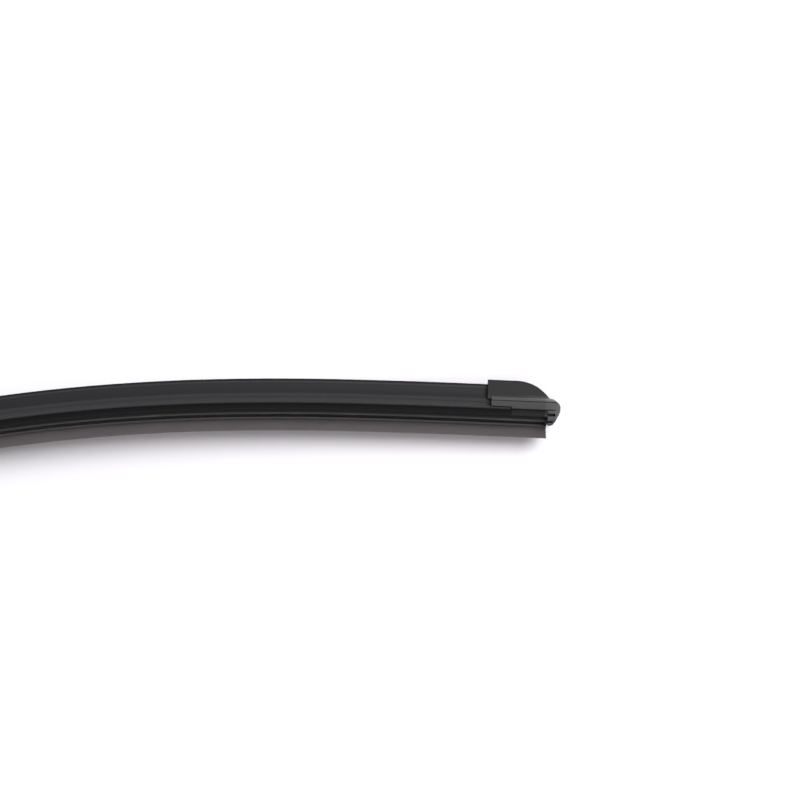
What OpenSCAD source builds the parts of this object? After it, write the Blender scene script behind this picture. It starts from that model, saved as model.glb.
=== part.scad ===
// Flat wiper blade, bowed as it is before it is pressed on the glass.
// X runs along the blade, Y across it and Z up, away from the glass.
// The origin is on the axis of the pivot pin, in the middle of the blade.

/* [Bow] */
// Half the length of the rubber, measured along the bow
half_l = 300; // [280:1:330]
// Half the length of the straight middle
flat_l = 45; // [40:1:60]
// Length of the nearly straight end that the cap sits on
tip_l = 34; // [30:1:40]
// Radius of the bow next to the straight middle
bow_r = 746; // [700:1:900]
// Number of arcs that each half of the bow is made of
arcs = 4; // [3:1:6]

/* [Rails] */
// Width of one spring steel rail
rail_w = 3.6; // [3:0.1:4.2]
// Thickness of a rail
rail_t = 0.9; // [0.7:0.05:1.1]
// Gap left round a rail, on each side
rail_fit = 0.1; // [0.05:0.01:0.15]
// How far a rail reaches past the end of the rubber
rail_past = 3.2; // [2:0.1:3.4]
// Length of the latch notch in a rail's outer edge
notch_l = 2.4; // [1.5:0.1:3]
// Depth of the latch notch
notch_d = 0.9; // [0.5:0.1:1.2]

/* [Rubber] */
// Thickness of the rubber between the two rails
web_t = 2.2; // [1.8:0.1:2.8]
// Width of the head above the rails
head_w = 6.2; // [5.4:0.1:6.6]
// Height of the head above the rails
head_h = 1; // [0.8:0.1:1.3]
// Width of the head just below the rails
under_w = 6.8; // [6:0.1:7]
// Height of that narrower part
under_h = 1.85; // [1.6:0.05:2]
// Width of the flange at the bottom of the head
flange_w = 8; // [7.6:0.1:9]
// Height of that flange
flange_h = 0.95; // [0.8:0.05:1.3]
// Thickness of the neck that lets the lip tip over
neck_t = 1.3; // [1:0.1:1.6]
// Height of the neck
neck_h = 1.15; // [1:0.05:1.5]
// Width of the shoulder under the neck
shoulder_w = 5.4; // [4.6:0.1:6]
// Height of the shoulder down to the root of the lip
shoulder_h = 1.5; // [1.2:0.1:1.8]
// Height of the wiping lip
lip_h = 4.85; // [4:0.05:6]
// Thickness of the lip at its root
lip_t = 1.9; // [1.5:0.1:2.2]
// Thickness of the lip at its edge
edge_t = 0.7; // [0.5:0.1:0.9]

/* [Spoiler] */
// Height of the spoiler's crest above the middle of the rails
crest_h = 12; // [11:0.1:14]
// Width of the crest
crest_w = 1.2; // [1:0.1:1.6]
// Height of the bead where the fin ends
bead_h = 5; // [4.6:0.1:5.4]
// Width across the bead
bead_w = 8.7; // [8:0.1:9.2]
// Width across the two flared skirts
skirt_w = 14.4; // [13.4:0.1:15]
// Height of the skirt's edge above the middle of the rails
skirt_h = 2.4; // [2:0.1:2.7]
// Wall of the claw that grips a rail
claw_t = 0.7; // [0.5:0.1:0.9]
// How far a claw reaches under its rail
claw_in = 1.2; // [0.8:0.1:1.4]
// Distance of the spoiler's inner end from the middle of the blade
spoiler_x = 30; // [29:1:36]

/* [End cap] */
// Length of blade that only the cap covers, from the spoiler's end to the rubber's end
bare_l = 16; // [14:1:18]
// Length of the nose past the end of the rubber
nose_l = 5.9; // [5.5:0.1:7]
// Height of the hood's top above the middle of the rails
hood_h = 14; // [13.6:0.1:16]
// Radius of the hood's sloping end, seen from the side
hood_r = 18; // [15:0.5:20]
// Width of the hood at its top
hood_top_w = 3.4; // [3:0.1:4]
// Width of the hood where it meets the ledge
hood_foot_w = 9.6; // [9.4:0.1:10]
// Height of the ledge above the middle of the rails
ledge_h = 7; // [6.6:0.1:7.3]
// Width of the cap across its skirt
cap_w = 15.6; // [15.4:0.1:17]
// Length of the spoiler's end that the hood takes in
overlap_l = 10.3; // [7:0.1:11]
// Gap between the spoiler and what covers it
cover_fit = 0.25; // [0.15:0.05:0.3]

/* [Connector] */
// Height of the pivot pin's axis above the middle of the rails
pin_h = 12.4; // [12:0.1:14]
// Diameter of the pivot pin
pin_d = 3.8; // [3:0.1:4.2]
// Diameter of the pin's heads
pin_head_d = 6; // [5.4:0.1:6.4]
// Thickness of each head
pin_head_t = 0.7; // [0.5:0.1:0.8]
// Outer diameter of the sleeve on the pin
sleeve_d = 6.4; // [6:0.1:6.6]
// Thickness of the base's sheet steel
base_t = 1; // [0.8:0.1:1.2]
// Inner width between the base's two walls
base_in = 13; // [12.8:0.1:14]
// Length of the base
base_l = 52; // [48:1:56]
// Length of each of the four claws
tab_l = 6; // [4:0.5:8]
// Distance from the base's end to its claws
tab_end = 3; // [2:0.5:5]
// Wall of the cover beside the base
cover_t = 2.2; // [1.8:0.1:2.6]
// Length of the cover
cover_l = 96; // [92:1:106]
// Length of its middle, before it is drawn in to the spoiler
cover_mid_l = 46; // [40:1:50]
// Height of the cover's roof above the middle of the rails
cover_h = 17; // [16.8:0.1:19]
// Height of the roof at the cover's two ends
cover_end_h = 13.4; // [13.3:0.1:14.5]
// Width of the roof at the cover's two ends
cover_end_w = 5; // [4.6:0.1:6]
// Wall of the cover over the spoiler's skirts
cover_lip_t = 1.2; // [1:0.1:1.5]

/* [Adapter] */
// Width of the arm's hook
hook_w = 9; // [8.5:0.1:9]
// Thickness of the arm's hook
hook_t = 4; // [3:0.1:4.2]
// Inner gap of the arm's hook
hook_gap = 9.2; // [9:0.1:9.4]
// Thickness of each cheek of the adapter
cheek_t = 1.4; // [1.2:0.1:1.6]
// Height of the mouth through which the sleeve snaps in
mouth_h = 5.2; // [4.6:0.1:5.4]
// Length of the adapter behind the pin
back_l = 17; // [14:0.5:18]
// Reach of the release tab in front of the pin
tab_reach = 17.4; // [16.6:0.1:18]

/* [Hidden] */
$fn = 64;
// Arcs of the bow are drawn in many steps, because their radius is large
bow_fn = 1440;
// Running gap of a pin in its hole
run_gap = 0.05;
// Gap between pieces that pass each other
gap = 0.3;
// Overcut of a hole past the face it starts from
over = 1;

// The bow: the arcs grow flatter towards the tip by a parabola. Radii are whole
// millimetres and turns are hundredths of a degree, so the arcs meet exactly.
run_l = (half_l - flat_l - tip_l) / arcs;
bend_r = [for (i = [0:arcs - 1]) round(bow_r / (1 - pow((i + 0.5) / arcs, 2)))];
bend_a = [for (r = bend_r) round(100 * run_l / r * 180 / PI) / 100];
// The end is an arc too, of a tenth of a degree, so it looks straight
end_a = 0.1;
end_r = round(tip_l * 180 / PI / end_a);
radii = concat(bend_r, [end_r]);
turns = concat(bend_a, [end_a]);
function turned(i) = i <= 0 ? 0 : turned(i - 1) + turns[i - 1];
// Place on the rails' middle line where arc i starts
function spot(i) = i <= 0
    ? [flat_l, 0, -pin_h]
    : spot(i - 1) + radii[i - 1]
        * [sin(turned(i)) - sin(turned(i - 1)), 0, cos(turned(i)) - cos(turned(i - 1))];
bends_l = flat_l + [for (i = [0:arcs - 1]) bend_r[i] * bend_a[i] * PI / 180] * [for (i = [0:arcs - 1]) 1];
// The tip frame: its origin is at the rubber's end, on the rails' middle line
tip_a = turned(arcs) + end_a / 2;
tip_run = half_l - bends_l;
tip_at = spot(arcs) + tip_run * [cos(tip_a), 0, -sin(tip_a)];

// Sizes across the blade, measured from its middle
rail_in = web_t / 2 + rail_fit;
rail_out = rail_in + rail_w;
slot_h = rail_t / 2 + rail_fit;
flange_top = -slot_h - under_h;
flange_low = flange_top - flange_h;
neck_low = flange_low - neck_h;
lip_top = neck_low - shoulder_h;
lip_low = lip_top - lip_h;
claw_out = rail_out + rail_fit + claw_t;
claw_low = -slot_h - claw_t * 0.6;
claw_tip = rail_out - claw_in;
channel_w = head_w / 2 + 0.25;
channel_h = slot_h + head_h + 0.25;

// Sizes of the connector
base_out = base_in / 2 + base_t;
base_wall_h = pin_h + pin_d / 2 + 1.4;
cover_in = base_out + 0.1;
cover_step = 0.4;
cover_out = cover_in + cover_t;
sleeve_bore_r = sleeve_d / 2 + run_gap;
barrel_r = hook_gap / 2 - 0.1;
adapter_w = hook_w + 2 * gap + 2 * cheek_t;
cheek_h = hook_gap / 2 + 0.7 * hook_t;
bend_x = hook_gap / 2 + hook_t + 2 * gap;
bridge_t = 3.8;
mouth_top = mouth_h / 2 + gap;
// The adapter's corners stay this far from the pin, so the window is as long
window_back = norm([back_l, cheek_h]) + 2 * gap;
window_front = norm([tab_reach, cheek_h]) + 2 * gap;
cap_l = bare_l + overlap_l;
spoiler_end = half_l - bare_l;
seat_gap = 0.05;
floor_low = rail_t / 2 + seat_gap;
floor_top = floor_low + base_t;
foot_top = -rail_t / 2 - seat_gap;
cover_low = 0.2;

// Moves by v in three steps, whole millimetres first, so that rounding moves nothing
module place(v) {
    whole = [for (c = v) round(c)];
    part = [for (c = v - whole) round(1000 * c) / 1000];
    translate(whole) translate(part) translate(v - whole - part) children();
}

// Turns an extruded outline (across, up) to run along X
module along() multmatrix([[0, 0, 1, 0], [1, 0, 0, 0], [0, 1, 0, 0]]) children();

// Turns an outline (along, up) to be as wide as w across the blade
module across(w) rotate([90, 0, 0]) linear_extrude(w, center = true) children();

// One arc of the bow, as long as the angle says
module bow_arc(i, angle)
    place(spot(i) - radii[i] * [sin(turned(i)), 0, cos(turned(i))])
        multmatrix([[0, 1, 0, 0], [0, 0, 1, 0], [1, 0, 0, 0]])
            rotate_extrude(angle = angle, start = turned(i), $fn = bow_fn)
                translate([radii[i], 0]) mirror([1, -1, 0]) children();

// An outline carried along the right half of the bow, from the straight middle to a length
module bow_half(to) {
    for (i = [0:arcs - 1]) bow_arc(i, turns[i]) children();
    bow_arc(arcs, (to - bends_l) / end_r * 180 / PI) children();
}

module straight(from, to)
    translate([from, 0, -pin_h]) along() linear_extrude(to - from) children();

module bow_whole(to) {
    straight(-flat_l, flat_l) children();
    bow_half(to) children();
    mirror([1, 0, 0]) bow_half(to) children();
}

// Puts a shape drawn at the rubber's end into its place at the right tip
module at_tip() place(tip_at) rotate([0, tip_a, 0]) children();

module left_and_right() {
    children();
    mirror([1, 0, 0]) children();
}

// The right half of an outline, from top to bottom, made whole
function both(half) = concat(half, [for (i = [len(half) - 1:-1:0]) if (half[i][0] > 0) [-half[i][0], half[i][1]]]);

// Points on a shallow curve from p to q that sags by s to the left of its run
function sag(p, q, s, n = 6) = [
    for (i = [0:n])
        let (t = i / n, d = q - p)
            p + d * t + 4 * s * t * (1 - t) * [-d[1], d[0]] / norm(d)
];

function arc_points(c, r, from, to, n) = [for (i = [0:n]) let (a = from + (to - from) * i / n) c + r * [cos(a), sin(a)]];

// Rubber

module squeegee_outline()
    polygon(both(concat(
        [
            [head_w / 2 - 0.4, slot_h + head_h],
            [head_w / 2, slot_h + head_h - 0.4],
            [head_w / 2, slot_h],
            [web_t / 2, slot_h],
            [web_t / 2, -slot_h],
            [under_w / 2, -slot_h],
            [under_w / 2, flange_top],
            [flange_w / 2 - 0.3, flange_top],
            [flange_w / 2, flange_top - 0.3],
            [flange_w / 2, flange_low + 0.4],
            [flange_w / 2 - 0.4, flange_low],
            [neck_t / 2 + 0.3, flange_low - 0.1],
            [neck_t / 2, flange_low - 0.4],
            [neck_t / 2, neck_low + 0.2],
            [shoulder_w / 2 - 0.3, neck_low - 0.25],
            [shoulder_w / 2, neck_low - 0.5],
            [shoulder_w / 2, neck_low - 0.7]
        ],
        sag([shoulder_w / 2 - 0.2, neck_low - 0.85], [lip_t / 2, lip_top], -0.2, 3),
        sag([lip_t / 2 + 0.05, lip_top - 0.5], [edge_t / 2, lip_low], -0.08, 3)
    )));

module squeegee() color("#3c3a3a") bow_whole(half_l) squeegee_outline();

// Rails

// Cuts the notch that the cap's tooth drops into, out of a rail's outer edge
module notch() at_tip()
    translate([-cap_l / 3 - notch_l, rail_out - notch_d, -rail_t]) cube([notch_l, notch_d + over, 2 * rail_t]);

module rail(side) mirror([0, side, 0]) difference() {
    bow_whole(half_l + rail_past) translate([rail_in, -rail_t / 2]) square([rail_w, rail_t]);
    left_and_right() notch();
}

module rail_front() color("#2b2d30") rail(1);
module rail_rear() color("#2b2d30") rail(0);

// Spoiler

// The claw of a spoiler or a cap, from its outer wall round the rail to the channel over the rubber's head
function claw_points() = [
    [claw_out, skirt_h - 0.7],
    [claw_out, claw_low + 0.2],
    [claw_out - 0.2, claw_low],
    [claw_tip + 0.15, claw_low],
    [claw_tip, claw_low + 0.15],
    [claw_tip, -slot_h],
    [rail_out + rail_fit, -slot_h],
    [rail_out + rail_fit, slot_h],
    [channel_w, slot_h],
    [channel_w, channel_h],
    [0, channel_h]
];

module spoiler_outline()
    polygon(both(concat(
        arc_points([0, crest_h - crest_w / 2], crest_w / 2, 90, 10, 4),
        sag([crest_w / 2 + 0.05, crest_h - 0.9], [bead_w / 2 - 0.4, bead_h + 0.65], -0.7),
        [
            [bead_w / 2 - 0.1, bead_h + 0.45],
            [bead_w / 2, bead_h + 0.2],
            [bead_w / 2, bead_h - 0.5],
            [bead_w / 2 - 0.15, bead_h - 0.75]
        ],
        sag([bead_w / 2 - 0.05, bead_h - 0.95], [skirt_w / 2 - 0.15, skirt_h + 0.4], -0.3, 4),
        [
            [skirt_w / 2, skirt_h + 0.2],
            [skirt_w / 2, skirt_h - 0.05],
            [skirt_w / 2 - 0.2, skirt_h - 0.25],
            [claw_out + 0.3, skirt_h - 0.5]
        ],
        claw_points()
    )));

module spoiler() color("#3b3b3d") {
    straight(spoiler_x, flat_l) spoiler_outline();
    bow_half(spoiler_end) spoiler_outline();
}

module spoiler_left() mirror([1, 0, 0]) spoiler();
module spoiler_right() spoiler();

// The spoiler's outer form made wider by the fit, for what slides over its end
module spoiler_room()
    polygon(both([
        [0, crest_h + cover_fit],
        [crest_w / 2 + cover_fit, crest_h + cover_fit],
        [crest_w / 2 + cover_fit, crest_h - 1],
        [bead_w / 2 + cover_fit, bead_h + 0.9],
        [bead_w / 2 + cover_fit, bead_h - 0.8],
        [skirt_w / 2 + cover_fit, skirt_h + 0.7],
        [skirt_w / 2 + cover_fit, -slot_h - 3],
        [0, -slot_h - 3]
    ]));

// End caps

hood_x = 0.9 - sqrt(pow(hood_r, 2) - pow(hood_r - hood_h + ledge_h, 2));
groove_h = ledge_h - 1.5;
cap_skirt_h = 2.35;
rear_skirt_h = cap_skirt_h + 0.7;
nose_low = neck_low - 0.3;

// The hood's section: its flat sides run on below the ledge
module hood_section() {
    lean = (hood_foot_w - hood_top_w) / 2 / (hood_h - 0.5 - ledge_h);
    polygon(both([
        [hood_top_w / 2 - 0.5, hood_h],
        [hood_top_w / 2, hood_h - 0.5],
        [hood_foot_w / 2 + lean, ledge_h - 1]
    ]));
}

// The ledge, the groove under it and the skirt, as deep as low
function skirt_points(low) = [
    [hood_foot_w / 2 - 0.1, ledge_h + 0.2],
    [hood_foot_w / 2 + 0.3, ledge_h - 0.05],
    [cap_w / 2 - 0.9, ledge_h - 0.85],
    [cap_w / 2 - 0.75, ledge_h - 1.2],
    [cap_w / 2 - 1.1, groove_h],
    [cap_w / 2 - 0.35, groove_h - 0.25],
    [cap_w / 2, groove_h - 0.6],
    [cap_w / 2, low + 0.2],
    [cap_w / 2 - 0.2, low]
];

module cap_length(from, to) translate([from, 0, 0]) along() linear_extrude(to - from) children();

module hood() intersection() {
    cap_length(-cap_l, nose_l) hood_section();
    across(cap_w) {
        translate([-cap_l, 0]) square([cap_l + hood_x, 2 * hood_h]);
        translate([hood_x, hood_h - hood_r]) circle(hood_r, $fn = 180);
    }
}

// The nose seen from the side
module nose_side() {
    r = 3.7;
    drop = 0.7;
    translate([nose_l - r, ledge_h - drop - r]) circle(r);
    polygon([
        [0, ledge_h + 0.2],
        [0.4, ledge_h],
        [nose_l - r, ledge_h - drop],
        [nose_l, ledge_h - drop - r],
        [nose_l, cap_skirt_h - 0.8],
        [nose_l - 2.7, nose_low + 1.4],
        [nose_l - 3.5, nose_low + 0.35],
        [nose_l - 4.4, nose_low],
        [0.6, nose_low],
        [0, nose_low + 0.4]
    ]);
}

// The nose seen from above
module nose_plan() {
    r = 4.4;
    translate([-1, -cap_w / 2]) square([nose_l - r + 1, cap_w]);
    translate([-1, r - cap_w / 2]) square([nose_l + 1, cap_w - 2 * r]);
    for (s = [-1, 1]) translate([nose_l - r, s * (cap_w / 2 - r)]) circle(r);
}

module nose_section()
    polygon(both(concat(
        skirt_points(cap_skirt_h),
        [
            [cap_w / 2 - 0.9, cap_skirt_h - 0.05],
            [cap_w / 2 - 0.25, cap_skirt_h - 0.7],
            [cap_w / 2 - 0.25, -1.6],
            [cap_w / 2 - 1.4, nose_low + 0.5],
            [cap_w / 2 - 2, nose_low]
        ]
    )));

module nose() difference() {
    intersection() {
        cap_length(seat_gap + 0.1, nose_l) nose_section();
        across(cap_w + 2) nose_side();
        translate([0, 0, nose_low - over]) linear_extrude(2 * hood_h) nose_plan();
    }
    // The rails' ends sit in a slot that is open at both sides
    translate([-over, -cap_w, -slot_h]) cube([over + rail_past + gap, 2 * cap_w, 2 * slot_h + 0.15]);
    // A lower pocket in each side, where the mould's core pulls out
    for (s = [-1, 1]) translate([0, s * cap_w / 2, 0]) across(cap_w - 5) {
        translate([-over, nose_low + 1.4]) square([over + 2.2, 0.8]);
        translate([2.2, nose_low + 1.8]) circle(0.4);
    }
}

// The tooth that drops into a rail's notch
module tooth()
    translate([-cap_l / 3 - notch_l + gap, rail_out - notch_d + gap, -slot_h])
        cube([notch_l - 2 * gap, notch_d - gap + rail_fit + 0.1, 2 * slot_h]);

module end_cap() color("#3c3c3c") at_tip() {
    difference() {
        union() {
            hood();
            cap_length(-cap_l + 1.6, seat_gap + 0.2) polygon(both(concat(
                skirt_points(rear_skirt_h),
                [[claw_out, rear_skirt_h]]
            )));
            cap_length(cover_fit - bare_l, seat_gap + 0.2) polygon(both(concat(
                skirt_points(cap_skirt_h),
                claw_points()
            )));
        }
        cap_length(-cap_l - over, cover_fit - bare_l) spoiler_room();
    }
    nose();
    tooth();
    mirror([0, 1, 0]) tooth();
}

module end_cap_left() mirror([1, 0, 0]) end_cap();
module end_cap_right() end_cap();

// Connector

module base_section()
    polygon(both([
        [channel_w + 0.4, channel_h + base_t],
        [channel_w + base_t + 0.4, floor_top],
        [base_in / 2, floor_top],
        [base_in / 2, base_wall_h],
        [base_out, base_wall_h],
        [base_out, floor_low],
        [channel_w, floor_low],
        [channel_w, channel_h],
        [0, channel_h]
    ]));

// The base seen from the side, made larger by g: a long foot and an ear round the pin
module base_side(g = 0) {
    ear_r = base_wall_h - pin_h + g;
    foot_h = floor_top + 1.6 + g;
    translate([-base_l / 2 - g, 0]) square([base_l + 2 * g, foot_h]);
    polygon([
        [5 - base_l / 2 - g, foot_h - 0.1],
        [base_l / 2 - 5 + g, foot_h - 0.1],
        [0.9 * ear_r, pin_h + 0.42 * ear_r],
        [-0.9 * ear_r, pin_h + 0.42 * ear_r]
    ]);
    translate([0, pin_h]) circle(ear_r);
}

// One claw, crimped round the rail's outer edge
module base_claw() {
    x = base_l / 2 - tab_end - tab_l;
    translate([x, 0, 0]) along() linear_extrude(tab_l) polygon([
        [rail_out + seat_gap, floor_low + 0.2],
        [rail_out + seat_gap + base_t, floor_low + 0.2],
        [rail_out + seat_gap + base_t, foot_top - base_t * 0.5],
        [rail_out + seat_gap + base_t * 0.7, foot_top - base_t * 0.8],
        [claw_tip, foot_top - base_t * 0.8],
        [claw_tip, foot_top],
        [rail_out + seat_gap, foot_top]
    ]);
}

module connector_base() color("#2e3033") translate([0, 0, -pin_h]) {
    difference() {
        intersection() {
            translate([-base_l / 2, 0, 0]) along() linear_extrude(base_l) base_section();
            across(2 * base_out + 2) base_side();
        }
        translate([0, 0, pin_h]) rotate([90, 0, 0]) cylinder(r = pin_d / 2 + run_gap, h = 2 * base_out + 2, center = true);
        // Room in the floor for the hook's short leg
        translate([-base_l / 2 + 10, -rail_out, 0]) cube([base_l - 24, 2 * rail_out, channel_h + base_t + over]);
    }
    left_and_right() {
        base_claw();
        mirror([0, 1, 0]) base_claw();
    }
}

module pin_cylinder(r, l) rotate([90, 0, 0]) cylinder(r = r, h = l, center = true);

module pivot_pin() color("#9a9c9e") {
    shank_l = 2 * base_out + 2 * seat_gap;
    pin_cylinder(pin_d / 2, shank_l + pin_head_t);
    for (s = [-1, 1]) translate([0, s * (shank_l + pin_head_t) / 2, 0]) pin_cylinder(pin_head_d / 2, pin_head_t);
}

module pin_sleeve() color("#d9d6cc") difference() {
    pin_cylinder(sleeve_d / 2, base_in - 0.2);
    pin_cylinder(pin_d / 2 + run_gap, base_in + over);
}

// The cover from above: straight past the pin, then drawn in by an arc out and an arc in
module boat(mid_w, end_w) {
    n = 12;
    run = (cover_l - cover_mid_l) / 2;
    fall = (mid_w - end_w) / 2;
    r = (pow(run, 2) + pow(fall, 2)) / (4 * fall);
    a = 2 * atan(fall / run);
    end = concat(
        arc_points([end_w / 2 + r, cover_l / 2], r, 180, 180 + a, n),
        arc_points([mid_w / 2 - r, cover_mid_l / 2], r, a * (n - 1) / n, 0, n - 1)
    );
    rotate(90) polygon(both(concat(end, [for (i = [len(end) - 1:-1:0]) [end[i][0], -end[i][1]]])));
}

// The cover's roof from the side: one shallow arc
module roof_side() {
    fall = cover_h - cover_end_h;
    r = (pow(cover_l / 2, 2) + pow(fall, 2)) / (2 * fall);
    intersection() {
        translate([-cover_l / 2 - over, cover_low]) square([cover_l + 2 * over, cover_h]);
        translate([0, cover_h - r]) circle(r, $fn = 1440);
    }
}

module upper_section()
    polygon(both([
        [cover_out - 3.2, cover_h + over],
        [cover_out - 3.2, cover_h - 0.1],
        [cover_out - 1.6, cover_h - 0.6],
        [cover_out - 0.9, cover_h - 1.6],
        [cover_out, 6],
        [cover_out, -over]
    ]));

module lower_section()
    polygon(both([
        [crest_w / 2 + cover_fit + cover_lip_t, crest_h - 0.6],
        [bead_w / 2 + cover_fit + cover_lip_t, bead_h + 1.2],
        [skirt_w / 2 + 0.5, skirt_h + 1.9],
        [skirt_w / 2 + cover_fit + cover_lip_t, skirt_h + 0.9],
        [cover_out + over, skirt_h + 0.4],
        [cover_out + over, cover_low]
    ]));

module cover_body() {
    intersection() {
        linear_extrude(cover_h + over) boat(2 * (cover_out - cover_step), cover_end_w);
        across(2 * cover_out + 2) roof_side();
        cap_length(-cover_l, cover_l) upper_section();
    }
    intersection() {
        linear_extrude(cover_h) boat(2 * cover_out, skirt_w + 2 * (cover_fit + cover_lip_t));
        cap_length(-cover_l, cover_l) lower_section();
    }
}

module connector_cover() color("#37383a") translate([0, 0, -pin_h]) difference() {
    cover_body();
    // Room for the base, and for the pin's heads
    across(2 * cover_in) base_side(gap);
    translate([0, 0, pin_h]) pin_cylinder(pin_head_d / 2 + gap, 2 * (base_out + pin_head_t + 0.2));
    // Room and window for the adapter
    translate([-window_back, -base_in / 2, 0]) cube([window_back + window_front, base_in, 2 * cover_h]);
    // Room for the spoiler's inner ends
    left_and_right() cap_length(base_l / 2 - over, cover_l) spoiler_room();
}

// Adapter

module cheek_side() {
    front = bend_x + bridge_t;
    low = -barrel_r - 0.9;
    circle(-low);
    polygon([
        [-back_l, mouth_top],
        [-back_l, mouth_top + 2.3],
        [2.5 - back_l, cheek_h],
        [front - 3.5, cheek_h],
        [front, cheek_h - 3.8],
        [front, low + 3.2],
        [front - 3.5, low],
        [0, low],
        [0, mouth_top]
    ]);
}

module hook_adapter() color("#232325") difference() {
    inner_w = adapter_w - cheek_t;
    front = bend_x + bridge_t;
    union() {
        for (s = [-1, 1]) translate([0, s * inner_w / 2, 0]) across(cheek_t) cheek_side();
        pin_cylinder(barrel_r, inner_w);
        // Bridge past the hook's bend, with the tab that lets the hook go
        across(inner_w) polygon([
            [bend_x, cheek_h - 9.6],
            [bend_x, cheek_h - 4.2],
            [front - 1.4, cheek_h - 3.8],
            [front, cheek_h - 4],
            [front, cheek_h - 9.6]
        ]);
        across(hook_w - 2) polygon([
            [front - 1.6, cheek_h - 4.4],
            [tab_reach - 0.6, cheek_h - 1],
            [tab_reach, cheek_h - 2.2],
            [front - 0.2, cheek_h - 5.8]
        ]);
        // Cross bar under the arm's leg
        across(inner_w) polygon([
            [0.6 - back_l, mouth_top],
            [0.6 - back_l, mouth_top + 1.5],
            [4.2 - back_l, mouth_top + 1.5],
            [4.6 - back_l, mouth_top]
        ]);
    }
    pin_cylinder(sleeve_bore_r, adapter_w + over);
    translate([-back_l - over, -adapter_w, -mouth_h / 2]) cube([back_l + over, 2 * adapter_w, mouth_h]);
}

squeegee();
rail_front();
rail_rear();
spoiler_left();
spoiler_right();
end_cap_left();
end_cap_right();
connector_base();
connector_cover();
pivot_pin();
pin_sleeve();
hook_adapter();
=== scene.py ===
import math

import bmesh
import bpy
import numpy as np
from mathutils import Matrix, Vector


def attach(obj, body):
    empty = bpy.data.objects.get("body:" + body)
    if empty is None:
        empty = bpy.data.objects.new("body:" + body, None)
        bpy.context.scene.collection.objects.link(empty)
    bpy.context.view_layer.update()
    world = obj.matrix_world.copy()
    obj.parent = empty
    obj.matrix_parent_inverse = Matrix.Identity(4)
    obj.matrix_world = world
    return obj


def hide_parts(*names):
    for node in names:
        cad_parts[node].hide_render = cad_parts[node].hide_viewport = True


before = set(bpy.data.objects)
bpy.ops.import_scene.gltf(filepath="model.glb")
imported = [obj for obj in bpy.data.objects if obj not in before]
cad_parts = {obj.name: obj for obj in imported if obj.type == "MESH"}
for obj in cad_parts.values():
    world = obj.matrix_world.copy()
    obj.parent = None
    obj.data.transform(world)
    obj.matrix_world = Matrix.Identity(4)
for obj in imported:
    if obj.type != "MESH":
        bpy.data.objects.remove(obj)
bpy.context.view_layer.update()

# Camera
# The photograph looks at the blade from the side and a little from above, from about a metre,
# with the picture turned so that the right tip points nearly level. Lengths are in metres.
look_at = Vector((0.2346, 0, -0.03))
distance = 0.978
look_down = math.radians(4)
picture_turn = math.radians(9.02)
forward = Vector((0, math.cos(look_down), -math.sin(look_down)))
level_up = Vector((0, math.sin(look_down), math.cos(look_down)))
level_right = Vector((1, 0, 0))
picture_right = math.cos(picture_turn) * level_right - math.sin(picture_turn) * level_up
picture_up = math.sin(picture_turn) * level_right + math.cos(picture_turn) * level_up


def in_scene(name, data):
    """A new object that holds a camera, mesh or lamp, put in the scene at the origin."""
    made = bpy.data.objects.new(name, data)
    bpy.context.scene.collection.objects.link(made)
    return made


camera = in_scene("camera", bpy.data.cameras.new("camera"))
camera.data.lens = 100
camera.data.sensor_width = 36
camera.data.clip_start = 0.01
camera_turn = Matrix((picture_right, picture_up, -forward)).transposed().to_4x4()
camera.matrix_world = Matrix.Translation(look_at - distance * forward) @ camera_turn
bpy.context.scene.camera = camera

# Squeegee
# One strip of extruded rubber, held by the two rails in its side slots and bowed with them.
# Below its flange a thin neck lets the wiping lip tip over each time the blade turns back.
# From here on sizes are in millimetres, and MM makes them metres.
MM = 0.001
half_length = 300
straight_half = 45
rail_drop = 12.4
arc_radius = np.array([758, 868, 1224, 3183, 19481])
arc_turn = np.radians([4.18, 3.65, 2.59, 0.99, 0.1])


def bow(s, w):
    """Places x and z of points w above the rails' middle line, s along it from the middle. The
    line is straight, then a chain of tangent arcs: a point is its arc's centre plus the arc's
    radius, made larger by w, at the angle that s has reached. The left half mirrors the right."""
    turned = np.concatenate([[0], np.cumsum(arc_turn)])
    begins = straight_half + np.concatenate([[0], np.cumsum(arc_radius * arc_turn)])
    steps = arc_radius[:, None] * np.stack([np.diff(np.sin(turned)), np.diff(np.cos(turned))], 1)
    ends = [straight_half, -rail_drop] + np.vstack([[0, 0], np.cumsum(steps, 0)])
    far = np.abs(s)
    i = np.clip(np.searchsorted(begins, far, side="right") - 1, 0, len(arc_radius) - 1)
    angle = turned[i] + (far - begins[i]) / arc_radius[i]
    x = ends[i, 0] - arc_radius[i] * np.sin(turned[i]) + (arc_radius[i] + w) * np.sin(angle)
    z = ends[i, 1] - arc_radius[i] * np.cos(turned[i]) + (arc_radius[i] + w) * np.cos(angle)
    bowed = far > straight_half
    return np.where(bowed, x, far) * np.sign(s), np.where(bowed, z, w - rail_drop)


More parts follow.
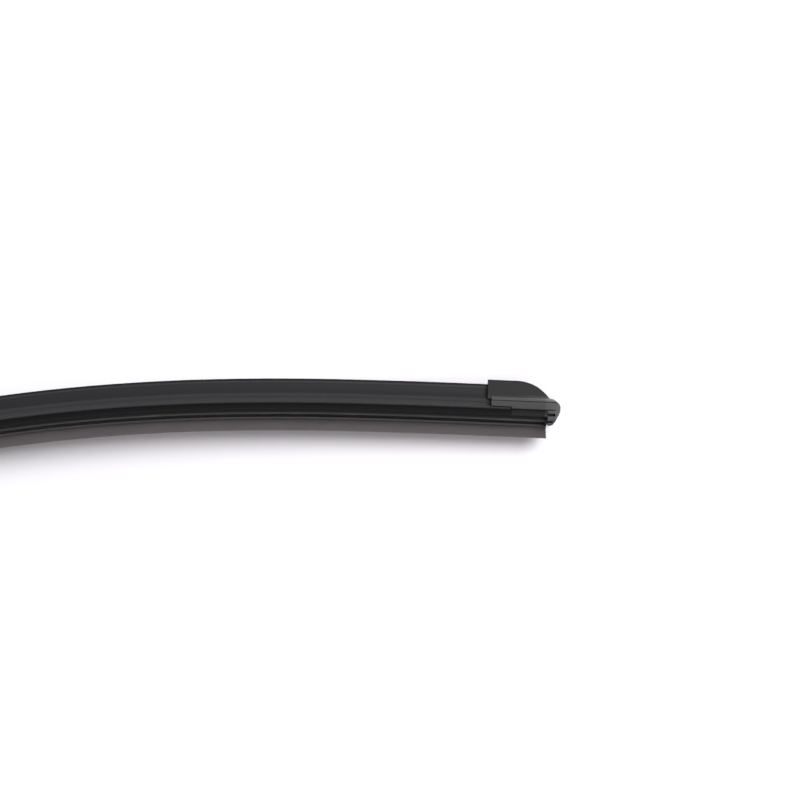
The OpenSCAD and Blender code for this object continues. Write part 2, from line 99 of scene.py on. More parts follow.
def outline(corners, steps=3, near=0.04, most=0.45, bends=7):
    """Closed section from its right half, given from top to bottom as (across, up, radius, sag).
    Each corner is an arc of its radius, made smaller where it would take more than the share
    most of an edge, with a point near before and after it. The edge that follows a corner bends
    by its sag as a parabola."""
    corners = np.array(corners, float)
    spots, radius, sag = corners[:, :2], corners[:, 2], corners[:-1, 3]
    into = np.diff(np.vstack([[0, spots[0, 1]], spots]), axis=0)
    away = np.diff(np.vstack([spots, [0, spots[-1, 1]]]), axis=0)
    into_length = np.maximum(np.linalg.norm(into, axis=1), 1e-9)
    away_length = np.maximum(np.linalg.norm(away, axis=1), 1e-9)
    into /= into_length[:, None]
    away /= away_length[:, None]
    turn = np.arctan2(into[:, 0] * away[:, 1] - into[:, 1] * away[:, 0], (into * away).sum(1))
    half_tan = np.abs(np.tan(turn / 2))
    cut = np.minimum(half_tan * radius, most * np.minimum(into_length, away_length))
    arc_r = (cut / np.maximum(half_tan, 1e-9))[:, None, None]
    angle = turn[:, None, None] * np.linspace(0, 1, steps + 1)[None, :, None]
    inward = np.sign(turn)[:, None, None] * np.stack([-into[:, 1], into[:, 0]], 1)[:, None]
    arc = (spots - cut[:, None] * into)[:, None] + arc_r * (
        np.sin(np.abs(angle)) * into[:, None] + (1 - np.cos(angle)) * inward
    )
    gap = near * np.minimum(1, 2 * cut)[:, None, None]
    first = arc[:, :1] - gap * into[:, None]
    last = arc[:, -1:] + gap * away[:, None]
    run = first[1:] - last[:-1]
    off = np.stack([-run[..., 1], run[..., 0]], -1) / np.linalg.norm(run, axis=2, keepdims=True)
    t = np.linspace(0, 1, bends + 2)[1:-1][None, :, None]
    edge = last[:-1] + run * t + 4 * sag[:, None, None] * t * (1 - t) * off
    rows = np.concatenate([first[:-1], arc[:-1], last[:-1], edge], axis=1)
    kept = np.ones(rows.shape[:2], bool)
    kept[:, -bends:] = sag[:, None] != 0
    half = np.vstack([rows[kept], first[-1], arc[-1], last[-1]])
    half = half[half[:, 0] > 1e-6]
    return np.vstack([half, half[::-1] * [-1, 1]])


def grid_quads(rows, columns, closed):
    """Corners of the faces between neighbouring points of a grid, row after row, and from the
    last column back to the first where the grid is closed."""
    row, column = np.meshgrid(np.arange(rows - 1), np.arange(columns - (not closed)), indexing="ij")
    here = row * columns + column
    beside = row * columns + (column + 1) % columns
    return np.stack([here, here + columns, beside + columns, beside], -1).reshape(-1, 4)


def swept(name, section, stations, slant=None):
    """Section carried along the bow: a grid of stations by section points, closed round, with a
    flat face over each end. slant moves each section point of the two ends along the blade.
    The map holds metres along the blade and round the section, and the attribute up holds
    metres above the rails' middle line."""
    count = len(section)
    along = np.repeat(np.asarray(stations, float)[:, None], count, 1)
    if slant is not None:
        along[0] -= slant(section)
        along[-1] += slant(section)
    y, up = (np.broadcast_to(column, along.shape) for column in section.T)
    x, z = bow(along, up)
    verts = np.stack([x, y, z], -1).reshape(-1, 3) * MM
    end_faces = [np.arange(count), np.arange(len(verts) - 1, len(verts) - 1 - count, -1)]
    faces = grid_quads(len(stations), count, True).tolist() + [face.tolist() for face in end_faces]
    mesh = bpy.data.meshes.new(name)
    mesh.from_pydata(verts.tolist(), [], faces)
    mesh.shade_smooth()
    pairs = np.zeros(2 * len(mesh.edges), int)
    mesh.edges.foreach_get("vertices", pairs)
    pairs = pairs.reshape(-1, 2)
    at_ends = (pairs < count).all(1) | (pairs >= len(verts) - count).all(1)
    mesh.attributes.new("sharp_edge", "BOOLEAN", "EDGE").data.foreach_set("value", at_ends)
    around = np.concatenate([[0], np.cumsum(np.linalg.norm(np.diff(section, axis=0), axis=1))])
    uv = np.stack([along, np.broadcast_to(around, along.shape)], -1).reshape(-1, 2) * MM
    loops = np.zeros(len(mesh.loops), int)
    mesh.loops.foreach_get("vertex_index", loops)
    mesh.uv_layers.new(name="along").data.foreach_set("uv", uv[loops].ravel())
    mesh.attributes.new("up", "FLOAT", "POINT").data.foreach_set("value", up.ravel() * MM)
    mesh.validate()
    return in_scene(name, mesh)


def lip_slant(section):
    """The cut end leans out towards the lip's edge, by the square of the depth below the neck."""
    neck_foot = -5.2
    full_depth = 5.5
    full_lean = 0.45
    return full_lean * np.clip((neck_foot - section[:, 1]) / full_depth, 0, 1) ** 2


rubber_section = outline([
    (3.1, 1.55, 0.35, 0), (3.1, 0.55, 0.05, 0), (1.1, 0.55, 0.05, 0), (1.1, -0.55, 0.05, 0),
    (3.4, -0.55, 0.08, 0), (3.4, -2.4, 0.08, 0), (4.0, -2.4, 0.22, 0), (4.0, -3.35, 0.22, 0),
    (1.1, -3.45, 0.3, 0), (0.65, -3.7, 0.3, 0), (0.65, -4.35, 0.3, 0), (2.45, -4.75, 0.15, 0),
    (2.7, -5.0, 0.1, 0), (2.7, -5.2, 0.1, 0), (2.4, -5.45, 0.3, -0.12), (0.98, -6.0, 0.3, 0),
    (0.95, -6.6, 0.3, -0.08), (0.35, -10.85, 0.04, 0),
])
bowed_stations = np.linspace(straight_half, half_length, 86)
middle_stations = [-15, 0, 15]
rubber_stations = np.concatenate([-bowed_stations[::-1], middle_stations, bowed_stations])
squeegee = swept("squeegee_strip", rubber_section, rubber_stations, lip_slant)


def linear(text):
    """Linear colour of an sRGB hex value such as #8090a0, by the sRGB curve."""
    v = np.array([int(text[i:i + 2], 16) for i in (1, 3, 5)]) / 255
    v = np.where(v <= 0.04045, v / 12.92, ((v + 0.055) / 1.055) ** 2.4)
    return (*v.tolist(), 1.0)


def add(tree, kind, links=None, values=None, stops=(), **settings):
    """Adds one node: links join its sockets and values fill them, stops are the places and hex
    colours along its ramp, and settings are its own properties."""
    made = tree.nodes.new(kind)
    for key, value in settings.items():
        setattr(made, key, value)
    for key, value in (values or {}).items():
        made.inputs[key].default_value = value
    for key, source in (links or {}).items():
        tree.links.new(source, made.inputs[key])
    for _ in stops[2:]:
        made.color_ramp.elements.new(1)
    for i, (position, colour) in enumerate(stops):
        made.color_ramp.elements[i].position = position
        made.color_ramp.elements[i].color = linear(colour)
    return made


def new_material(name):
    """An empty material with its Principled shader, ready for the nodes of one finish."""
    material = bpy.data.materials.new(name)
    material.use_nodes = True
    tree = material.node_tree
    return material, tree, tree.nodes["Principled BSDF"]


# Extruded rubber: near black above, and from the flange down dusted with graphite, which turns
# it a warm grey. Below that it grows paler towards the edge, and a paler band over the neck is
# painted light where the flange shades it. The die's lines run along it, 2.6 to the millimetre,
# coarser than real ones so that they show, and the dust lies in clouds a few millimetres long
wiping_rubber, tree, shader = new_material("graphite dusted wiping rubber")
map_uv = add(tree, "ShaderNodeUVMap", uv_map="along")
lines_at = add(tree, "ShaderNodeMapping", {"Vector": map_uv.outputs[0]},
               {"Scale": (0.012 / MM, 2.6 / MM, 1)})
lines = add(tree, "ShaderNodeTexNoise", {"Vector": lines_at.outputs[0]}, {"Scale": 1, "Detail": 3})
place = add(tree, "ShaderNodeTexCoord")
dust_at = add(tree, "ShaderNodeMapping", {"Vector": place.outputs["Object"]},
              {"Scale": (0.06 / MM, 0.4 / MM, 0.4 / MM)})
dust = add(tree, "ShaderNodeTexNoise", {"Vector": dust_at.outputs[0]}, {"Scale": 1, "Detail": 4})
tone = add(tree, "ShaderNodeMix", {"A": lines.outputs["Fac"], "B": dust.outputs["Fac"]},
           {"Factor": 0.5}, data_type="FLOAT")
wander = add(tree, "ShaderNodeMapRange", {"Value": tone.outputs["Result"]},
             {"From Min": 0.3, "From Max": 0.7, "To Min": -1.2 * MM, "To Max": 1.2 * MM})
up = add(tree, "ShaderNodeAttribute", attribute_name="up")
wandered = add(tree, "ShaderNodeMath", {0: up.outputs["Fac"], 1: wander.outputs[0]}, operation="ADD")
depth = add(tree, "ShaderNodeMapRange", {"Value": wandered.outputs[0]},
            {"From Min": -2 * MM, "From Max": -11.5 * MM})
# Shades by depth: the pale stop over the neck is painted light that lifts the neck's shade under the
# flange
grey_with_painted_light = add(tree, "ShaderNodeValToRGB", {"Fac": depth.outputs[0]}, stops=(
    (0.12, "#2d2c2c"), (0.2, "#464444"), (0.32, "#3c393a"), (0.6, "#4b4647"), (1, "#575253"),
))
dusted = add(tree, "ShaderNodeMapRange", {"Value": up.outputs["Fac"]},
             {"From Min": -2.3 * MM, "From Max": -2.6 * MM})
colour = add(tree, "ShaderNodeMix", {"Factor": dusted.outputs[0], "B": grey_with_painted_light.outputs[0]},
             {"A": linear("#101010")}, data_type="RGBA")
tree.links.new(colour.outputs["Result"], shader.inputs["Base Color"])
bump = add(tree, "ShaderNodeBump", {"Height": lines.outputs["Fac"]},
           {"Distance": 0.02 * MM, "Strength": 0.5})
tree.links.new(bump.outputs[0], shader.inputs["Normal"])
shader.inputs["Roughness"].default_value = 0.6
shader.inputs["IOR"].default_value = 1.52
shader.inputs["Specular IOR Level"].default_value = 0.2

squeegee.data.materials.append(wiping_rubber)
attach(squeegee, "blade")
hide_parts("squeegee")

# Rails
# Two strips of spring steel, punched, notched near their ends, bent to the bow and coated
# black. They lie in the rubber's slots, and the claws of the spoiler grip their outer edges.

# Thin black coat over steel: dark and a little glossy, with a grain of 0.4 mm that breaks the
# shine, coarser than the coat's own so that it shows
rail_steel, tree, shader = new_material("black coated spring steel")
place = add(tree, "ShaderNodeTexCoord")
grain = add(tree, "ShaderNodeTexNoise", {"Vector": place.outputs["Object"]},
            {"Scale": 2.5 / MM, "Detail": 2})
rough = add(tree, "ShaderNodeMapRange", {"Value": grain.outputs["Fac"]}, {"To Min": 0.3, "To Max": 0.5})
tree.links.new(rough.outputs[0], shader.inputs["Roughness"])
shader.inputs["Base Color"].default_value = linear("#26282a")
shader.inputs["Specular IOR Level"].default_value = 0.25
for name in ("rail_front", "rail_rear"):
    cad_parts[name].data.materials.clear()
    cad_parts[name].data.materials.append(rail_steel)

# Spoiler
# Two lengths of soft black elastomer, extruded as one section and cut to length. The hollow
# sided fin presses the blade down in the wind, and the claws under it clip over the rails.
spoiler_section = outline([
    (0.55, 12.0, 0.5, 0), (0.6, 11.3, 0.12, 0), (0.76, 11.15, 0.06, -0.7), (3.95, 5.7, 0.12, 0),
    (4.35, 5.4, 0.3, 0), (4.4, 4.45, 0.3, 0), (4.3, 4.15, 0.15, -0.38), (7.2, 2.6, 0.2, 0),
    (7.2, 2.15, 0.2, 0), (5.9, 1.75, 0.15, 0), (5.6, 1.5, 0.15, 0), (5.6, -0.97, 0.35, 0),
    (3.6, -0.97, 0.15, 0), (3.6, -0.55, 0.05, 0), (4.9, -0.55, 0.05, 0), (4.9, 0.55, 0.05, 0),
    (3.35, 0.55, 0.05, 0), (3.35, 1.8, 0.1, 0),
])
spoiler_inner = 30
spoiler_outer = 284
spoiler_stations = np.concatenate(
    [[spoiler_inner, 38], np.linspace(straight_half, spoiler_outer, 90)]
)

# Extruded thermoplastic elastomer: near black with a soft sheen, with long streaks from the die,
# 1.4 to the millimetre, and a matt grain of 0.3 mm, both coarser than real ones. Its shades by
# height are painted light and shade: greyer on the skirt, the fin's foot and just under the crest,
# darker in the fin's middle and on the crest, and blackest with less sheen on the claws under the
# skirt
spoiler_elastomer, tree, shader = new_material("extruded black elastomer")
map_uv = add(tree, "ShaderNodeUVMap", uv_map="along")
streaks_at = add(tree, "ShaderNodeMapping", {"Vector": map_uv.outputs[0]},
                 {"Scale": (0.006 / MM, 1.4 / MM, 1)})
streaks = add(tree, "ShaderNodeTexNoise", {"Vector": streaks_at.outputs[0]}, {"Scale": 1, "Detail": 4})
place = add(tree, "ShaderNodeTexCoord")
grain = add(tree, "ShaderNodeTexNoise", {"Vector": place.outputs["Object"]},
            {"Scale": 3.5 / MM, "Detail": 2})
up = add(tree, "ShaderNodeAttribute", attribute_name="up")
crest_at = add(tree, "ShaderNodeMapRange", {"Value": up.outputs["Fac"]},
               {"From Min": 0, "From Max": 12 * MM})
# Painted light and shade by height, from the black claws up to the dark crest
grey_with_painted_light = add(tree, "ShaderNodeValToRGB", {"Fac": crest_at.outputs[0]}, stops=(
    (0.12, "#0c0c0d"), (0.155, "#323233"), (0.33, "#2c2c2e"), (0.46, "#2a2a2c"), (0.52, "#19191b"),
    (0.85, "#19191b"), (0.885, "#2b2b2d"), (0.915, "#2b2b2d"), (0.935, "#0c0c0d"),
))
tone = add(tree, "ShaderNodeMapRange", {"Value": streaks.outputs["Fac"]}, {"To Min": 0.8, "To Max": 1.2})
colour = add(tree, "ShaderNodeVectorMath", {"Vector": grey_with_painted_light.outputs[0], "Scale": tone.outputs[0]},
             operation="SCALE")
tree.links.new(colour.outputs[0], shader.inputs["Base Color"])
fin = add(tree, "ShaderNodeMapRange", {"Value": up.outputs["Fac"]},
          {"From Min": 1.4 * MM, "From Max": 1.8 * MM})
claw_foot = add(tree, "ShaderNodeMapRange", {"Value": up.outputs["Fac"]},
                {"From Min": -0.5 * MM, "From Max": -0.7 * MM})
# Less sheen on the claw band under the skirt: painted shade
outside_painted_claw_shade = add(tree, "ShaderNodeMath", {0: fin.outputs[0], 1: claw_foot.outputs[0]},
                 operation="MAXIMUM")
sheen = add(tree, "ShaderNodeMapRange", {"Value": outside_painted_claw_shade.outputs[0]},
            {"To Min": 0.088, "To Max": 0.18})
tree.links.new(sheen.outputs[0], shader.inputs["Specular IOR Level"])
rough = add(tree, "ShaderNodeMapRange", {"Value": streaks.outputs["Fac"]},
            {"To Min": 0.54, "To Max": 0.66})
tree.links.new(rough.outputs[0], shader.inputs["Roughness"])
streak_bump = add(tree, "ShaderNodeBump", {"Height": streaks.outputs["Fac"]},
                  {"Distance": 0.02 * MM, "Strength": 0.5})
grain_bump = add(tree, "ShaderNodeBump",
                 {"Height": grain.outputs["Fac"], "Normal": streak_bump.outputs[0]},
                 {"Distance": 0.01 * MM, "Strength": 0.5})
tree.links.new(grain_bump.outputs[0], shader.inputs["Normal"])
shader.inputs["IOR"].default_value = 1.5

for side, stations in (("left", -spoiler_stations[::-1]), ("right", spoiler_stations)):
    spoiler = swept("spoiler_fin_" + side, spoiler_section, stations)
    spoiler.data.materials.append(spoiler_elastomer)
    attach(spoiler, "blade")
    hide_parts("spoiler_" + side)

# End caps
# Injection moulded caps, pushed over the blade's ends until a tooth snaps into each rail.
# The hood takes in the spoiler's end, and the nose closes off the rails.


def moulded(node, name, radius, sharp=20):
    """A copy of a CAD node with its points merged, its flat faces joined and its edges rounded:
    a bevel as wide as the radius on each edge that turns by more than the sharp angle, narrower
    where a short edge leaves no room. The slivers that this leaves are joined."""
    same_point = 0.002 * MM
    same_plane = math.radians(0.4)
    sliver = 0.01 * MM
    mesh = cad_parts[node].data.copy()
    mesh.name = name
    work = bmesh.new()
    work.from_mesh(mesh)
    bmesh.ops.remove_doubles(work, verts=work.verts, dist=same_point)
    bmesh.ops.dissolve_limit(work, angle_limit=same_plane, verts=work.verts, edges=work.edges)
    work.to_mesh(mesh)
    work.free()
    mesh.materials.clear()
    piece = in_scene(name, mesh)
    bevel = piece.modifiers.new("rounded edges", "BEVEL")
    bevel.width = radius * MM
    bevel.segments = 2
    bevel.limit_method = "ANGLE"
    bevel.angle_limit = math.radians(sharp)
    bevel.harden_normals = True
    bevel.use_clamp_overlap = True
    weld = piece.modifiers.new("joined slivers", "WELD")
    weld.merge_threshold = sliver
    mesh.shade_smooth()
    mesh.set_sharp_from_angle(angle=math.radians(sharp))
    return piece


# Moulded acetal with a fine spark eroded texture: charcoal and satin, its grain of 0.25 mm just
# breaks up the highlights. The skirt and the nose are painted paler than the hood, painted light,
# the nose palest, and they are glossier. The ledge between them is polished towards its fore end
# and painted paler there, a painted highlight. up and ahead are measured from the rubber's end
cap_plastic, tree, shader = new_material("moulded charcoal acetal")
place = add(tree, "ShaderNodeTexCoord")
grain = add(tree, "ShaderNodeTexNoise", {"Vector": place.outputs["Object"]},
            {"Scale": 4 / MM, "Detail": 2})
cloud = add(tree, "ShaderNodeTexNoise", {"Vector": place.outputs["Object"]},
            {"Scale": 0.12 / MM, "Detail": 3})
parts = add(tree, "ShaderNodeSeparateXYZ", {"Vector": place.outputs["Object"]})
aside = add(tree, "ShaderNodeMath", {0: parts.outputs["Y"]}, operation="ABSOLUTE")
up = add(tree, "ShaderNodeAttribute", attribute_name="up")
ahead = add(tree, "ShaderNodeAttribute", attribute_name="ahead")

hood_lean = 0.477
past_hood = add(tree, "ShaderNodeMath", {0: up.outputs["Fac"], 2: aside.outputs[0]}, {1: hood_lean},
                operation="MULTIPLY_ADD")
skirt = add(tree, "ShaderNodeMapRange", {"Value": past_hood.outputs[0]},
            {"From Min": 8.2 * MM, "From Max": 8.4 * MM})
fore_end = add(tree, "ShaderNodeMapRange", {"Value": ahead.outputs["Fac"]},
               {"From Min": -1.2 * MM, "From Max": -0.6 * MM})
under_hood = add(tree, "ShaderNodeMapRange", {"Value": up.outputs["Fac"]},
                 {"From Min": 7.4 * MM, "From Max": 7 * MM})
nose = add(tree, "ShaderNodeMath", {0: fore_end.outputs[0], 1: under_hood.outputs[0]},
           operation="MULTIPLY")
painted_lit_sides = add(tree, "ShaderNodeMath", {0: skirt.outputs[0], 1: nose.outputs[0]}, operation="MAXIMUM")
# The ledge's fore end: polished, and painted paler as a painted highlight
ledge_up = add(tree, "ShaderNodeMapRange", {"Value": up.outputs["Fac"]},
               {"From Min": 6.2 * MM, "From Max": 6.8 * MM})
ledge_ahead = add(tree, "ShaderNodeMapRange", {"Value": ahead.outputs["Fac"]},
                  {"From Min": -12 * MM, "From Max": 1 * MM, "To Min": 0.2, "To Max": 1})
ledge_aside = add(tree, "ShaderNodeMapRange", {"Value": aside.outputs[0]},
                  {"From Min": 4.2 * MM, "From Max": 6 * MM})
ledge_fore = add(tree, "ShaderNodeMath", {0: ledge_up.outputs[0], 1: ledge_ahead.outputs[0]},
                 operation="MULTIPLY")
ledge_polish_and_painted_highlight = add(tree, "ShaderNodeMath", {0: ledge_fore.outputs[0], 1: ledge_aside.outputs[0]},
            operation="MULTIPLY")

# Painted light: the skirt and the nose paler than the hood, the nose palest, and a painted highlight on
# the ledge
painted_lit_skirt_colour = add(tree, "ShaderNodeMix", {"Factor": nose.outputs[0]},
                   {"A": linear("#3c3b3b"), "B": linear("#484747")}, data_type="RGBA")
painted_lit_side_colour = add(tree, "ShaderNodeMix",
                    {"Factor": ledge_polish_and_painted_highlight.outputs[0], "A": painted_lit_skirt_colour.outputs["Result"]},
                    {"B": linear("#605e5e")}, data_type="RGBA")
colour = add(tree, "ShaderNodeMix", {"Factor": painted_lit_sides.outputs[0], "B": painted_lit_side_colour.outputs["Result"]},
             {"A": linear("#1f1f1f")}, data_type="RGBA")
tree.links.new(colour.outputs["Result"], shader.inputs["Base Color"])
sheen = add(tree, "ShaderNodeMapRange", {"Value": painted_lit_sides.outputs[0]}, {"To Min": 0.11, "To Max": 0.24})
gloss = add(tree, "ShaderNodeMix", {"Factor": ledge_polish_and_painted_highlight.outputs[0], "A": sheen.outputs[0]}, {"B": 1},
            data_type="FLOAT")
tree.links.new(gloss.outputs["Result"], shader.inputs["Specular IOR Level"])
rough = add(tree, "ShaderNodeMapRange", {"Value": cloud.outputs["Fac"]}, {"To Min": 0.4, "To Max": 0.52})
polish = add(tree, "ShaderNodeMix", {"Factor": ledge_polish_and_painted_highlight.outputs[0], "A": rough.outputs[0]}, {"B": 0.3},
             data_type="FLOAT")
tree.links.new(polish.outputs["Result"], shader.inputs["Roughness"])
bump = add(tree, "ShaderNodeBump", {"Height": grain.outputs["Fac"]},
           {"Distance": 0.01 * MM, "Strength": 0.5})
tree.links.new(bump.outputs[0], shader.inputs["Normal"])

tip_x, tip_z = bow(np.full(2, half_length), np.array([0, 1]))
tip_foot = np.array([tip_x[0], tip_z[0]])
tip_up = np.array([tip_x[1], tip_z[1]]) - tip_foot
tip_ahead = np.array([tip_up[1], -tip_up[0]])
for side in ("left", "right"):
    cap = moulded("end_cap_" + side, "end_cap_moulding_" + side, 0.16)
    verts = np.zeros(3 * len(cap.data.vertices))
    cap.data.vertices.foreach_get("co", verts)
    x, _, z = verts.reshape(-1, 3).T
    from_foot = np.stack([np.abs(x), z], 1) / MM - tip_foot
    for key, axis in (("up", tip_up), ("ahead", tip_ahead)):
        cap.data.attributes.new(key, "FLOAT", "POINT").data.foreach_set("value", from_foot @ axis * MM)
    cap.data.materials.append(cap_plastic)
    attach(cap, "blade")
    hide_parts("end_cap_" + side)

# Connector base
# A channel folded from sheet steel and coated black. Its four claws are crimped round the
# rails, and its two ears carry the pin.

# Thick black coat over sheet steel: dark and satin, with an orange peel of about 0.6 mm
base_steel, tree, shader = new_material("black coated sheet steel")
place = add(tree, "ShaderNodeTexCoord")
peel = add(tree, "ShaderNodeTexNoise", {"Vector": place.outputs["Object"]},
           {"Scale": 1.8 / MM, "Detail": 3})
rough = add(tree, "ShaderNodeMapRange", {"Value": peel.outputs["Fac"]}, {"To Min": 0.32, "To Max": 0.55})
tree.links.new(rough.outputs[0], shader.inputs["Roughness"])
shader.inputs["Base Color"].default_value = linear("#2c2e31")
shader.inputs["Specular IOR Level"].default_value = 0.25
base = moulded("connector_base", "connector_base_channel", 0.12)
base.data.materials.append(base_steel)
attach(base, "blade")
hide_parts("connector_base")

# Connector cover
# A moulded shell that snaps over the base and laps the inner ends of the spoiler. Its window
# shows the adapter.

# ABS moulded in an etched tool: near black and matt, with a pebbled grain of 0.45 mm, faint
# clouds 11 mm wide and softened edges
cover_plastic, tree, shader = new_material("textured black ABS")
place = add(tree, "ShaderNodeTexCoord")
pebbles = add(tree, "ShaderNodeTexVoronoi", {"Vector": place.outputs["Object"]}, {"Scale": 2.2 / MM})
cloud = add(tree, "ShaderNodeTexNoise", {"Vector": place.outputs["Object"]},
            {"Scale": 0.09 / MM, "Detail": 3})
colour = add(tree, "ShaderNodeValToRGB", {"Fac": cloud.outputs["Fac"]},
             stops=((0.35, "#1d1d1f"), (0.65, "#222224")))
tree.links.new(colour.outputs[0], shader.inputs["Base Color"])
soft = add(tree, "ShaderNodeBevel", values={"Radius": 0.4 * MM})
bump = add(tree, "ShaderNodeBump", {"Height": pebbles.outputs["Distance"], "Normal": soft.outputs[0]},
           {"Distance": 0.02 * MM, "Strength": 0.6})
tree.links.new(bump.outputs[0], shader.inputs["Normal"])
shader.inputs["Roughness"].default_value = 0.6
shader.inputs["Specular IOR Level"].default_value = 0.1
cover = moulded("connector_cover", "connector_cover_shell", 0.3)
cover.data.materials.append(cover_plastic)
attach(cover, "blade")
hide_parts("connector_cover")

# Pin and sleeve
# A turned and zinc plated steel pin, its heads upset outside the base's walls, in a sleeve
# of undyed acetal that the adapter turns on.

# Zinc plate on turned steel: bright, with a haze in specks of 1.1 mm
pin_steel, tree, shader = new_material("zinc plated steel")
place = add(tree, "ShaderNodeTexCoord")
haze = add(tree, "ShaderNodeTexNoise", {"Vector": place.outputs["Object"]},
           {"Scale": 0.9 / MM, "Detail": 4})
rough = add(tree, "ShaderNodeMapRange", {"Value": haze.outputs["Fac"]}, {"To Min": 0.25, "To Max": 0.42})
tree.links.new(rough.outputs[0], shader.inputs["Roughness"])
shader.inputs["Base Color"].default_value = linear("#b4b6b8")
shader.inputs["Metallic"].default_value = 1
pin = moulded("pivot_pin", "pivot_pin_turned", 0.2)
pin.data.materials.append(pin_steel)
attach(pin, "blade")
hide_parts("pivot_pin")

# Acetal with no dye: cream and waxy, in soft clouds 7 mm wide
sleeve_plastic, tree, shader = new_material("undyed acetal")
place = add(tree, "ShaderNodeTexCoord")
cloud = add(tree, "ShaderNodeTexNoise", {"Vector": place.outputs["Object"]},
            {"Scale": 0.15 / MM, "Detail": 3})
colour = add(tree, "ShaderNodeValToRGB", {"Fac": cloud.outputs["Fac"]},
             stops=((0.35, "#d3cfc4"), (0.65, "#dfdcd2")))
tree.links.new(colour.outputs[0], shader.inputs["Base Color"])
shader.inputs["Roughness"].default_value = 0.35
sleeve = moulded("pin_sleeve", "pin_sleeve_bush", 0.15)
sleeve.data.materials.append(sleeve_plastic)
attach(sleeve, "blade")
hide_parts("pin_sleeve")

# Hook adapter
# A moulded block that snaps on the sleeve from behind. The arm's hook goes round it, and the
# tab in front lets it go.

# Nylon moulded in a blasted tool: near black and satin, with a grain of 0.33 mm, coarser than
# the real one so that it shows, and softened edges
adapter_plastic, tree, shader = new_material("moulded black nylon")
place = add(tree, "ShaderNodeTexCoord")
grain = add(tree, "ShaderNodeTexNoise", {"Vector": place.outputs["Object"]},
            {"Scale": 3 / MM, "Detail": 2})
rough = add(tree, "ShaderNodeMapRange", {"Value": grain.outputs["Fac"]}, {"To Min": 0.45, "To Max": 0.6})
tree.links.new(rough.outputs[0], shader.inputs["Roughness"])
soft = add(tree, "ShaderNodeBevel", values={"Radius": 0.25 * MM})
bump = add(tree, "ShaderNodeBump", {"Height": grain.outputs["Fac"], "Normal": soft.outputs[0]},
           {"Distance": 0.01 * MM, "Strength": 0.5})
tree.links.new(bump.outputs[0], shader.inputs["Normal"])
shader.inputs["Base Color"].default_value = linear("#161617")
shader.inputs["Specular IOR Level"].default_value = 0.15
adapter = moulded("hook_adapter", "hook_adapter_block", 0.25)
adapter.data.materials.append(adapter_plastic)
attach(adapter, "adapter")
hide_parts("hook_adapter")

# Studio
# A white sweep: a wall close behind the blade, which takes the soft shadow that the
# photograph shows under the lip, and a floor below it. Its sizes are in metres.
wall_y = 0.0142
wall_turn = 0.021
floor_z = -0.3
bend = 0.08
sweep_x = np.linspace(-1.4, 1.8, 33)
wall_z = np.linspace(0.9, floor_z + bend, 24)
quarter = np.linspace(0, math.pi / 2, 13)[1:]
floor_y = np.linspace(wall_y - bend, -1.6, 20)[1:]
line_y = np.concatenate(
    [np.full(len(wall_z), wall_y), wall_y - bend * (1 - np.cos(quarter)), floor_y]
)
line_z = np.concatenate(
    [wall_z, floor_z + bend * (1 - np.sin(quarter)), np.full(len(floor_y), floor_z)]
)
x, y = np.meshgrid(sweep_x, line_y, indexing="ij")
z = np.broadcast_to(line_z, x.shape)
verts = np.stack([x, y - wall_turn * x, z], -1).reshape(-1, 3)
quads = grid_quads(len(sweep_x), len(line_y), False)[:, ::-1]
mesh = bpy.data.meshes.new("studio_sweep")
mesh.from_pydata(verts.tolist(), [], quads.tolist())
mesh.shade_smooth()
sweep = in_scene("studio_sweep", mesh)


def seen_rays(tree):
    """1 for rays from the camera and those that gloss or clear stuff sends on, 0 for the rest."""
    ray = add(tree, "ShaderNodeLightPath")
    gloss = add(tree, "ShaderNodeMath",
                {0: ray.outputs["Is Camera Ray"], 1: ray.outputs["Is Glossy Ray"]}, operation="MAXIMUM")
    return add(tree, "ShaderNodeMath",
               {0: gloss.outputs[0], 1: ray.outputs["Is Transmission Ray"]}, operation="MAXIMUM")


# White paper that the camera and reflections see, and only from its front. Other light goes
# through it, so it neither lights nor shades the blade. Its matt face takes the blade's shadow,
# and its own glow lifts it to white above the blade, well below it and far to the left. The glow
# is painted light: it also lightens the lower edge of the blade's shadow, and a faint pink glow
# tints the shadow
paper, tree, shader = new_material("white studio paper")
shader.inputs["Base Color"].default_value = linear("#f2f1f6")
shader.inputs["Roughness"].default_value = 1
shader.inputs["Specular IOR Level"].default_value = 0
place = add(tree, "ShaderNodeTexCoord")
blade_slope = 0.1
rise = add(tree, "ShaderNodeVectorMath", {"Vector": place.outputs["Object"]},
           {1: (blade_slope, 0, 1)}, operation="DOT_PRODUCT")
low = add(tree, "ShaderNodeMapRange", {"Value": rise.outputs["Value"]},
          {"From Min": -0.023, "From Max": -0.054})
high = add(tree, "ShaderNodeMapRange", {"Value": rise.outputs["Value"]},
           {"From Min": 0.001, "From Max": 0.005})
parts = add(tree, "ShaderNodeSeparateXYZ", {"Vector": place.outputs["Object"]})
left = add(tree, "ShaderNodeMapRange", {"Value": parts.outputs["X"]},
           {"From Min": 0.05, "From Max": -0.35})
low_or_high = add(tree, "ShaderNodeMath", {0: low.outputs[0], 1: high.outputs[0]},
                  operation="MAXIMUM")
off_blade = add(tree, "ShaderNodeMath", {0: low_or_high.outputs[0], 1: left.outputs[0]},
                operation="MAXIMUM")
glow = add(tree, "ShaderNodeMix", {"Factor": off_blade.outputs[0]},
           {"A": linear("#271618"), "B": linear("#616161")}, data_type="RGBA")
tree.links.new(glow.outputs["Result"], shader.inputs["Emission Color"])
far_left = add(tree, "ShaderNodeMapRange", {"Value": parts.outputs["X"]},
               {"From Min": 0.05, "From Max": -1.2, "To Min": 1, "To Max": 7})
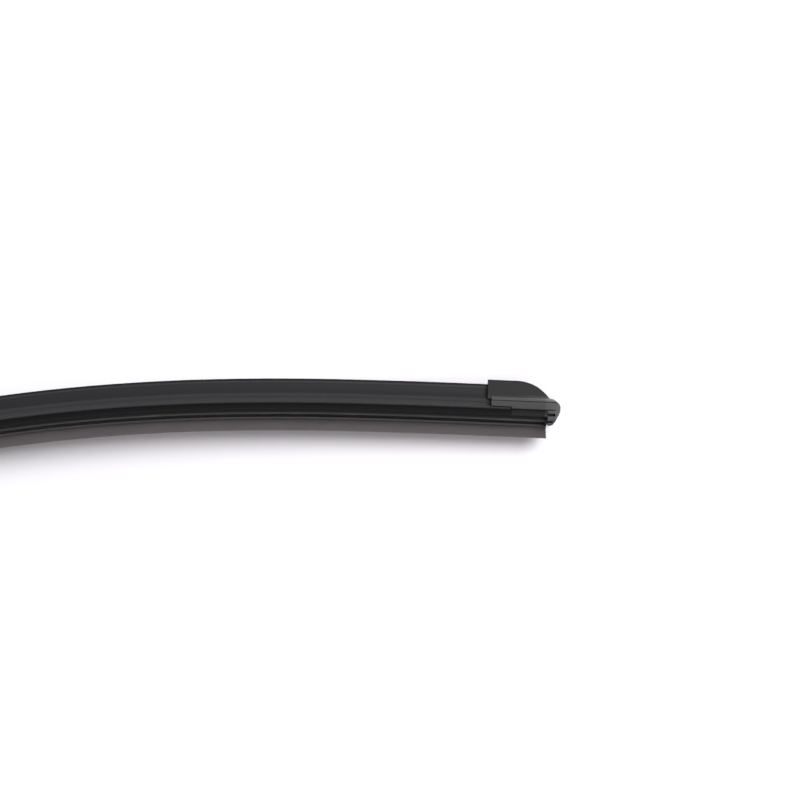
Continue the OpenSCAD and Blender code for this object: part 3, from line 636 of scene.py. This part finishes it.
tree.links.new(far_left.outputs[0], shader.inputs["Emission Strength"])
face = add(tree, "ShaderNodeNewGeometry")
front = add(tree, "ShaderNodeMath", {0: seen_rays(tree).outputs[0], 1: face.outputs["Backfacing"]},
            operation="SUBTRACT", use_clamp=True)
clear = add(tree, "ShaderNodeBsdfTransparent")
mixed = add(tree, "ShaderNodeMixShader",
            {0: front.outputs[0], 1: clear.outputs[0], 2: shader.outputs[0]})
tree.links.new(mixed.outputs[0], tree.nodes["Material Output"].inputs["Surface"])
sweep.data.materials.append(paper)

# Lights
# A soft box above, in front and to the right, in a white room whose front is the dimmer side,
# as over a white table in a studio. The camera and reflections see the room white all round.
world = bpy.data.worlds.new("white room")
bpy.context.scene.world = world
world.use_nodes = True
tree = world.node_tree
room = tree.nodes["Background"]
toward = add(tree, "ShaderNodeTexCoord")
parts = add(tree, "ShaderNodeSeparateXYZ", {"Vector": toward.outputs["Generated"]})
before = add(tree, "ShaderNodeMapRange", {"Value": parts.outputs["Z"]},
             {"From Min": 0, "From Max": 0.5, "To Min": 0.4, "To Max": 0.16})
behind = add(tree, "ShaderNodeMapRange", {"Value": parts.outputs["Y"]},
             {"From Min": -0.3, "From Max": 0.3}, interpolation_type="SMOOTHSTEP")
light = add(tree, "ShaderNodeMix", {"Factor": behind.outputs[0], "A": before.outputs[0]}, {"B": 0.9},
            data_type="FLOAT")
strength = add(tree, "ShaderNodeMath", {0: seen_rays(tree).outputs[0], 1: light.outputs["Result"]},
               operation="MAXIMUM")
tree.links.new(strength.outputs[0], room.inputs["Strength"])
room.inputs["Color"].default_value = linear("#ffffff")

key_aim = Vector((0.17, 0, -0.03))
key_box = in_scene("key_box", bpy.data.lights.new("key_box", "AREA"))
key_box.data.shape = "SQUARE"
key_box.data.size = 1.5
key_box.data.energy = 68
key_box.location = key_aim + Vector((1.27, -1.57, 0.93))
key_box.rotation_euler = (key_aim - key_box.location).to_track_quat("-Z", "Y").to_euler()

bpy.context.scene.view_settings.view_transform = "Standard"
